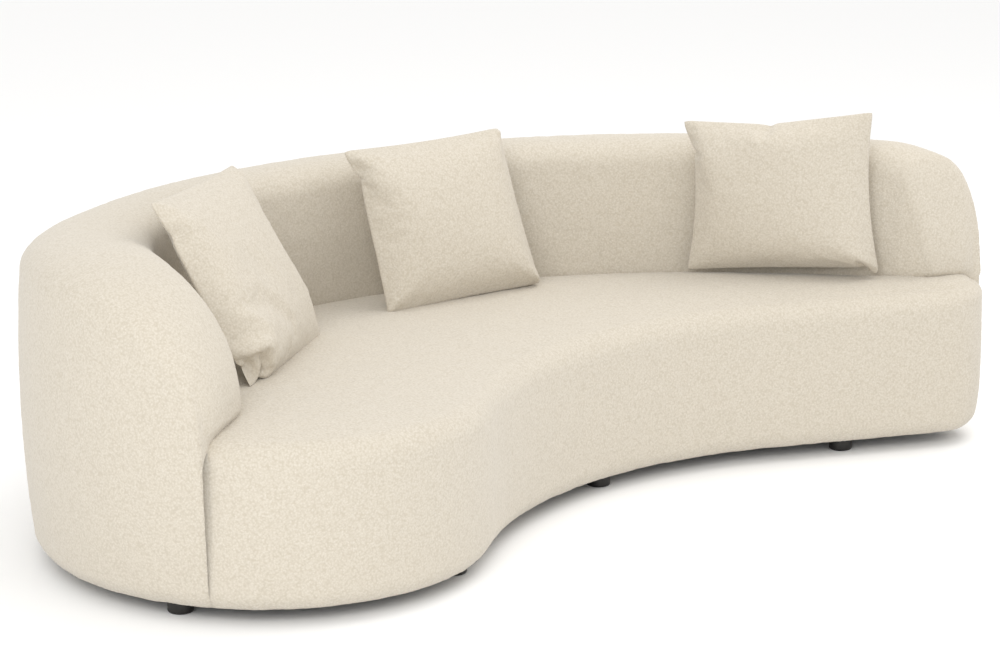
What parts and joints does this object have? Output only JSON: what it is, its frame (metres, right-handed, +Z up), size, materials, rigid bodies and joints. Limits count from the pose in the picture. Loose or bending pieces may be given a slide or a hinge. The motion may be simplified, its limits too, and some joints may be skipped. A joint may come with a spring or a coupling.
{
  "type": "curved sofa",
  "caption": "Kidney-shaped upholstered sofa: one curved back and arm shell round a tight seat, short turned feet and loose scatter cushions that lift off.",
  "frame": {"origin": "centre of the plan's bounding box, on the floor under the feet", "axes": "+X to the right as seen from in front, the sofa's long way; the sitter faces -Y; +Z up"},
  "size_m": [2.684, 1.3261, 0.8816],
  "materials": {
    "boucle": "matte",
    "foam": "matte",
    "wadding": "matte",
    "plywood": "matte",
    "softwood": "matte",
    "hardboard": "matte",
    "black_wood": "satin",
    "steel": "satin",
    "webbing": "matte",
    "dust_cloth": "matte"
  },
  "bodies": {
    "sofa": {"back_cover": "boucle", "back_foam_1": "foam", "back_foam_2": "foam", "back_foam_3": "foam", "back_foam_4": "foam", "back_foam_5": "foam", "back_foam_6": "foam", "back_foam_7": "foam", "back_foam_8": "foam", "back_foam_9": "foam", "back_rib_1": "plywood", "back_rib_2": "plywood", "back_rib_3": "plywood", "back_rib_4": "plywood", "back_rib_5": "plywood", "back_rib_6": "plywood", "back_top_rail": "softwood", "base_panel": "plywood", "dust_cover": "dust_cloth", "foot_1": "black_wood", "foot_2": "black_wood", "foot_3": "black_wood", "foot_4": "black_wood", "foot_5": "black_wood", "foot_6": "black_wood", "foot_7": "black_wood", "foot_bolt_1": "steel", "foot_bolt_2": "steel", "foot_bolt_3": "steel", "foot_bolt_4": "steel", "foot_bolt_5": "steel", "foot_bolt_6": "steel", "foot_bolt_7": "steel", "front_board": "hardboard", "inner_back_board": "hardboard", "outer_back_board": "hardboard", "seat_back_rail": "softwood", "seat_cover": "boucle", "seat_cross_rail_1": "softwood", "seat_cross_rail_2": "softwood", "seat_cross_rail_3": "softwood", "seat_foam_1": "foam", "seat_foam_2": "foam", "seat_foam_3": "foam", "seat_foam_4": "foam", "seat_foam_5": "foam", "seat_front_rail": "softwood", "seat_post_1": "softwood", "seat_post_2": "softwood", "seat_post_3": "softwood", "seat_post_4": "softwood", "seat_strap_1": "webbing", "seat_strap_2": "webbing", "seat_strap_3": "webbing"},
    "pillow_left": {"pillow_cover_left": "boucle", "pillow_filling_left": "wadding"},
    "pillow_middle": {"pillow_cover_middle": "boucle", "pillow_filling_middle": "wadding"},
    "pillow_right": {"pillow_cover_right": "boucle", "pillow_filling_right": "wadding"}
  },
  "joints": [
    {"name": "pillow_left_lift", "type": "slide", "parent": "sofa", "child": "pillow_left", "axis": [0, 0, 1], "range_m": [0, 0.5]},
    {"name": "pillow_middle_lift", "type": "slide", "parent": "sofa", "child": "pillow_middle", "axis": [0, 0, 1], "range_m": [0, 0.5]},
    {"name": "pillow_right_lift", "type": "slide", "parent": "sofa", "child": "pillow_right", "axis": [0, 0, 1], "range_m": [0, 0.5]}
  ]
}
